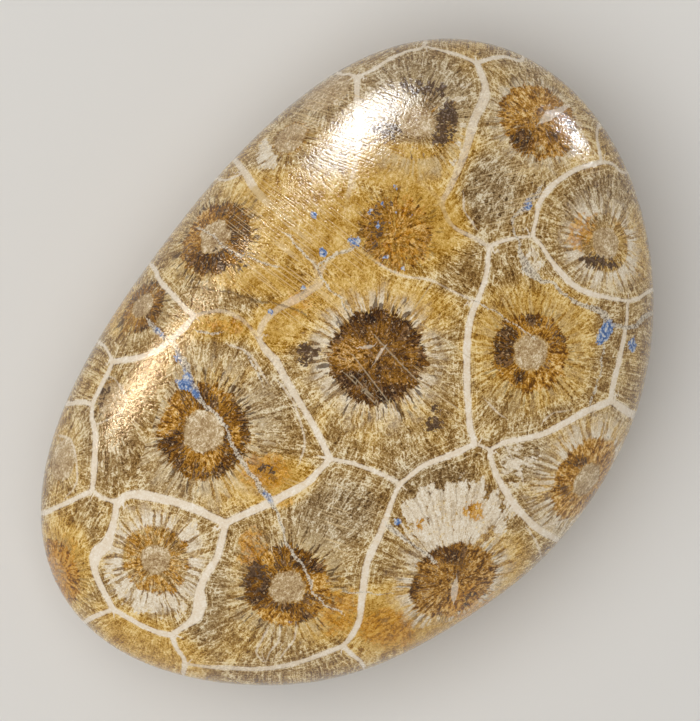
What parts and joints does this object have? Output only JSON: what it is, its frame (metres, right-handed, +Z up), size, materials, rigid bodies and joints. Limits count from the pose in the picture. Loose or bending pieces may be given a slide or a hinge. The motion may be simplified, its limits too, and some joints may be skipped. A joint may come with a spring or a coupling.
{
  "type": "polished fossil coral stone",
  "caption": "Smooth egg-shaped pebble of polished fossil coral: pale cell walls around dark, star-like calices in tan stone, ground flat underneath to rest level.",
  "frame": {"origin": "middle of the underside's box, on the surface that the stone rests on", "axes": "+Z up out of the polished face, X along the stone's length with the broader end towards +X, Y across it"},
  "size_m": [0.08, 0.055, 0.03],
  "materials": {
    "polished_coral_stone": "high polish with fine hairline scratches; tan limestone with cream walls and brown and orange calices"
  },
  "bodies": {
    "root": {"coral_stone": "polished_coral_stone"}
  },
  "joints": []
}
